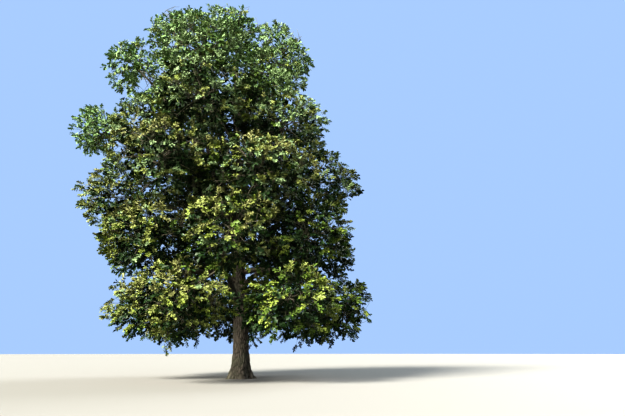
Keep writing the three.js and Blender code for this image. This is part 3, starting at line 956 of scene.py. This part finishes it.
def grow_leaves(kind, tips, heading, face, generator):
    """The leaves along each spray: their roots, directions, faces and lengths."""
    total, count = len(tips), PUFFS[kind]["leaves"]
    step = np.arange(count) / (count - 1)
    first, second = across_pair(heading)
    turn = generator.random((total, 1)) * FULL_TURN + np.arange(count) * GOLDEN_TURN
    lean = np.radians(LEAF_LEAN[0] + (LEAF_LEAN[1] - LEAF_LEAN[0]) * step)[None, :, None]
    around = first[:, None] * np.cos(turn)[..., None] + second[:, None] * np.sin(turn)[..., None]
    axis = heading[:, None] * np.cos(lean) + around * np.sin(lean)
    axis = axis + generator.normal(0, LEAF_SCATTER, axis.shape)
    axis[..., 2] = axis[..., 2] * LEAF_FLATTEN - LEAF_DROOP
    axis = unit(axis)
    along = SPRAY_LENGTH * (step - (1 - SPRAY_TIP))
    roots = tips[:, None] + heading[:, None] * along[None, :, None]
    toward = face[:, None] + generator.normal(0, FACE_SCATTER, axis.shape)
    normal = unit(toward - axis * (toward * axis).sum(-1, keepdims=True))
    lengths = generator.uniform(*LEAF_SIZES, axis.shape[:2])
    lengths = lengths * (LARGEST - SHRINK * np.abs(step - LARGEST_AT)) * PUFFS[kind]["leaf"]
    return [values.reshape(total * count, -1) for values in (roots, axis, normal, lengths)]


def leaf_outline(left, right):
    """Corners and triangles of a leaf folded at its midrib, from each side's lobe, notch and lobe."""
    corners = np.array([(0, 0, 0), *left, (0, 1, -0.06), *right], float)
    corners[len(left) + 2 :, 0] *= -1
    base, tip = 0, len(left) + 1
    lobe, notch, end_lobe = range(1, tip)
    half = [(base, lobe, notch), (notch, end_lobe, tip), (base, notch, tip)]
    mirrored = [[corner + tip if corner % tip else corner for corner in reversed(piece)] for piece in half]
    return corners, np.array(half + mirrored)


LEAF = leaf_outline(
    [(0.22, 0.34, 0.06), (0.1, 0.42, 0.02), (0.3, 0.7, 0.09)],
    [(0.25, 0.4, 0.06), (0.1, 0.49, 0.02), (0.27, 0.77, 0.08)],
)


def leaf_arrays(roots, axis, normal, lengths):
    corners, triangles = LEAF
    across = np.cross(axis, normal)
    shape = corners[None] * lengths[:, None]
    places = roots[:, None] + sum(
        shape[..., i : i + 1] * direction[:, None] for i, direction in enumerate((across, axis, normal))
    )
    starts = np.arange(len(roots))[:, None, None] * len(corners)
    return places.reshape(-1, 3), (triangles[None] + starts).reshape(-1, 3)


def tube_arrays(lines, radii, sides):
    """Closed tubes along many lines of the same count of places, with a radius at each place."""
    count, rings = lines.shape[:2]
    heading = np.empty_like(lines)
    heading[:, 1:-1] = lines[:, 2:] - lines[:, :-2]
    heading[:, 0] = lines[:, 1] - lines[:, 0]
    heading[:, -1] = lines[:, -1] - lines[:, -2]
    heading = unit(heading)
    level, _ = across_pair(unit(lines[:, -1] - lines[:, 0]))
    across = unit(level[:, None] - heading * (heading * level[:, None]).sum(-1, keepdims=True))
    beside = np.cross(heading, across)
    turn = np.arange(sides) * FULL_TURN / sides
    wall = across[:, :, None] * np.cos(turn)[:, None] + beside[:, :, None] * np.sin(turn)[:, None]
    places = (lines[:, :, None] + wall * radii[..., None, None]).reshape(-1, 3)
    ring, side = np.meshgrid(np.arange(rings - 1), np.arange(sides), indexing="ij")
    here = ring * sides + side
    beyond = ring * sides + (side + 1) % sides
    corners = [here, beyond, beyond + sides, here, beyond + sides, here + sides]
    quads = np.stack(corners, -1).reshape(-1, 3)
    fan = np.array([(0, i + 1, i) for i in range(1, sides - 1)])
    last = (rings - 1) * sides
    ends = np.concatenate([fan, fan[:, ::-1] + last])
    faces = np.concatenate([quads, ends])
    starts = np.arange(count)[:, None, None] * rings * sides
    return places, (faces[None] + starts).reshape(-1, 3)


def mesh_from_arrays(name, places, triangles, tint=None):
    mesh = bpy.data.meshes.new(name)
    mesh.vertices.add(len(places))
    mesh.vertices.foreach_set("co", places.astype(np.float32).ravel())
    mesh.loops.add(len(triangles) * 3)
    mesh.loops.foreach_set("vertex_index", triangles.astype(np.int32).ravel())
    mesh.polygons.add(len(triangles))
    mesh.polygons.foreach_set("loop_start", np.arange(len(triangles), dtype=np.int32) * 3)
    if tint is not None:
        mesh.polygons.foreach_set("material_index", tint.astype(np.int32))
    mesh.update(calc_edges=True)
    mesh.validate()
    piece = bpy.data.objects.new(name, mesh)
    bpy.context.scene.collection.objects.link(piece)
    return piece


def stack(parts):
    """One set of places and triangles from several."""
    shift, places, triangles = 0, [], []
    for part_places, part_triangles in parts:
        places.append(part_places)
        triangles.append(part_triangles + shift)
        shift += len(part_places)
    return np.concatenate(places), np.concatenate(triangles)


def curved_lines(curves, count):
    """Places along many curves at once."""
    shares = np.linspace(0, 1, count)
    return np.stack([on_curve(curve, shares) for curve in curves])


def shoot_lines(branches, middles, outward, radius):
    """An arched shoot from the nearest part of a branch into each puff, and where each shoot ends."""
    shares = np.linspace(*SHOOT_ROOTS, 9)
    spots = np.stack([on_curve(curve, shares) for curve in branches]).reshape(-1, 3)
    hubs = middles - (outward * HUB_INWARD + UP * HUB_DOWN) * radius[:, None]
    nearest = np.linalg.norm(hubs[:, None] - spots, axis=2).argmin(1)
    roots = spots[nearest]
    run = np.linalg.norm(hubs - roots, axis=1)[:, None]
    arch = [(roots + hubs) / 2 + UP * run * rise for rise in SHOOT_ARCH]
    return np.stack([roots, *arch, hubs], 1), hubs


def spray_lines(hubs, puff, tips, heading):
    """The fine shoot under each spray, from the middle of its puff to its tip."""
    foot = tips - heading * SPRAY_LENGTH * (1 - SPRAY_TIP)
    end = tips + heading * SPRAY_LENGTH * SPRAY_TIP
    return np.stack([hubs[puff], foot + UP * SPRAY_ARCH, end], 1)


def wood_arrays(kind, lines):
    """Tapered tubes of one kind of wood along many lines."""
    sides, thick, thin = WOOD[kind]
    radii = thick + (thin - thick) * np.linspace(0, 1, lines.shape[1])
    return tube_arrays(lines, np.tile(radii, (len(lines), 1)), sides)


def deal_tints(tier, kind, puff, rise, underside_shade, buried, generator):
    """A tint for each spray, in shares by tier, with painted shade round a puff's rim and on its mass's
    underside.
    """
    parts = {
        "rim": (CUSHION_TOP - rise) / CUSHION_DROP,
        "underside_painted_shade": underside_shade[puff],
        "own": generator.random(len(puff)),
        "shared": generator.random(len(buried))[puff],
    }
    rank = sum(TINT_RANK[name] * values for name, values in parts.items())
    rank = (0.5 + (rank - 0.5) * RANK_STRETCH).clip(0, 0.999)
    high = tier in HIGH_TIERS
    # Inner and heart growth and buried puffs get painted shade, partly the darker green of shade leaves.
    if kind != "outer":
        return tints_by_rank("inner_high" if high else "inner", rank)
    buried_tints = tints_by_rank("inner_high" if high else "buried", rank)
    return np.where(buried[puff], buried_tints, tints_by_rank(tier, rank))


def tints_by_rank(tier, rank):
    """The tint at each rank from 0 to 1 in a tier's shares."""
    tint = np.searchsorted(np.cumsum(TINT_SHARES[tier]), rank, side="right")
    return tint.clip(0, len(TINTS) - 1)


def grow_mass(masses, index, limbs):
    """All of one mass: its wood and its leaves as arrays."""
    mass = masses[index]
    # Masses in shade get painted shade in place of their tier's tints.
    tier = "painted_shade" if mass["name"] in PAINTED_SHADE_MASSES else mass["tier"]
    generator = np.random.default_rng(SEEDS["leaves"] + index)
    branches = grow_branches(mass, index)
    wood = [
        wood_arrays("stem", curved_lines([mass["stem"]], STEM_RINGS)),
        wood_arrays("branch", curved_lines(branches, BRANCH_RINGS)),
    ]
    leaves, tints = [], []
    for kind in PUFFS:
        middles, outward, radius, buried = grow_puffs(masses, index, limbs, kind, generator)
        if not len(middles):
            continue
        shoots, hubs = shoot_lines(branches, middles, outward, radius)
        wood.append(wood_arrays("shoot", shoots))
        puff, tips, heading, face, rise = grow_sprays(
            masses, index, kind, middles, outward, radius, generator
        )
        wood.append(wood_arrays("twig", spray_lines(hubs, puff, tips, heading)))
        leaves.append(leaf_arrays(*grow_leaves(kind, tips, heading, face, generator)))
        # how low the puff sits in its mass, which deals painted shade to its underside
        underside_shade = 0.5 - (middles[:, 2] - mass["centre"][2]) / (2 * mass["room"][2])
        tint = deal_tints(tier, kind, puff, rise, underside_shade, buried, generator)
        tints.append(np.repeat(tint, PUFFS[kind]["leaves"] * len(LEAF[1])))
    return stack(wood), stack(leaves), np.concatenate(tints)


def in_batches(counts):
    """Numbers in groups that add up to no more triangles than a piece may have."""
    batches, size = [[]], 0
    for index, count in counts.items():
        if size + count > PIECE_TRIANGLES:
            batches.append([])
            size = 0
        batches[-1].append(index)
        size += count
    return batches


def make_foliage(masses, limbs, twig_bark, leaf_materials):
    """All masses from the ground up, joined into pieces of twigs and pieces of leaves."""
    grown = [grow_mass(masses, index, limbs) for index in range(len(masses))]
    order = sorted(range(len(masses)), key=lambda index: masses[index]["centre"][2])
    for kind, part, materials, slot in (
        ("twigs", 0, [twig_bark], "young_bark"),
        ("leaves", 1, leaf_materials, "foliage"),
    ):
        batches = in_batches({index: len(grown[index][part][1]) for index in order})
        for number, batch in enumerate(batches, 1):
            places, triangles = stack([grown[index][part] for index in batch])
            tint = np.concatenate([grown[index][2] for index in batch]) if kind == "leaves" else None
            piece = mesh_from_arrays(f"{kind}_{number}", places, triangles, tint)
            if kind == "twigs":
                piece.data.shade_smooth()
            finish_piece(piece, materials, slot, [masses[index]["name"] for index in batch])


make_camera()
make_lights()
make_floor()
bark_group = make_bark_group()
old_bark = make_bark(bark_group, "old_bark", follows_limb=True)
young_bark = make_bark(bark_group, "young_bark", follows_limb=True)
twig_bark = make_bark(bark_group, "twig_bark", follows_limb=False)
leaf_group = make_leaf_group()
leaf_materials = [make_leaf_material(leaf_group, tint) for tint in TINTS]
trunk, stems, boughs, masses = grow_timber()
make_timber(trunk, stems, boughs, old_bark, young_bark)
make_foliage(masses, [trunk, *stems, *boughs], twig_bark, leaf_materials)
